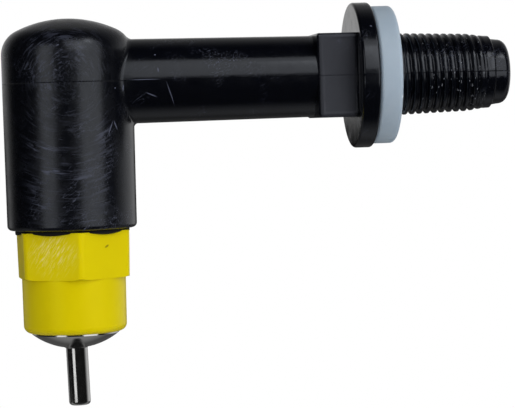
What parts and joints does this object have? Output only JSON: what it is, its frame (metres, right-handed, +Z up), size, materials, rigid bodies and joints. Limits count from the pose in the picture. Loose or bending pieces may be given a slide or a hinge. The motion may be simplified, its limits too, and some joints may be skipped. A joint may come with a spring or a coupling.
{
  "type": "poultry nipple drinker",
  "caption": "Elbow nipple drinker for poultry: a side-mount elbow with a threaded spigot, wall washer and a hanging steel trigger valve.",
  "frame": {"origin": "centre of the wall washer's sealing face, on the spigot's axis, where the washer meets the wall", "axes": "+X out along the threaded spigot, away from the drinker; +Z up, with the nipple hanging down"},
  "size_m": [0.0802, 0.023, 0.0621],
  "materials": {
    "black_plastic": "glossy moulded polypropylene with a fine split line and handling scratches",
    "silicone": "pale translucent silicone rubber",
    "black_rubber": "matt black rubber",
    "yellow_plastic": "satin yellow moulded plastic",
    "stainless_steel": "turned and polished stainless steel"
  },
  "bodies": {
    "drinker": {"elbow_body": "black_plastic", "wall_washer": "silicone", "socket_seal": "black_rubber", "nipple_housing": "yellow_plastic", "valve_cup": "stainless_steel", "seat_ring": "black_rubber", "metering_seat": "stainless_steel"},
    "metering_pin": {"metering_pin": "stainless_steel"},
    "trigger_pin": {"trigger_pin": "stainless_steel"}
  },
  "joints": [
    {"name": "pin_lift", "type": "slide", "parent": "drinker", "child": "metering_pin", "axis": [0, 0, 1], "range_m": [0, 0.001]},
    {"name": "trigger_tilt", "type": "hinge", "parent": "metering_pin", "child": "trigger_pin", "pos_m": [-0.0514, 0, -0.03835], "axis": [0, -1, 0], "range_deg": [-10.5, 7.5]}
  ]
}
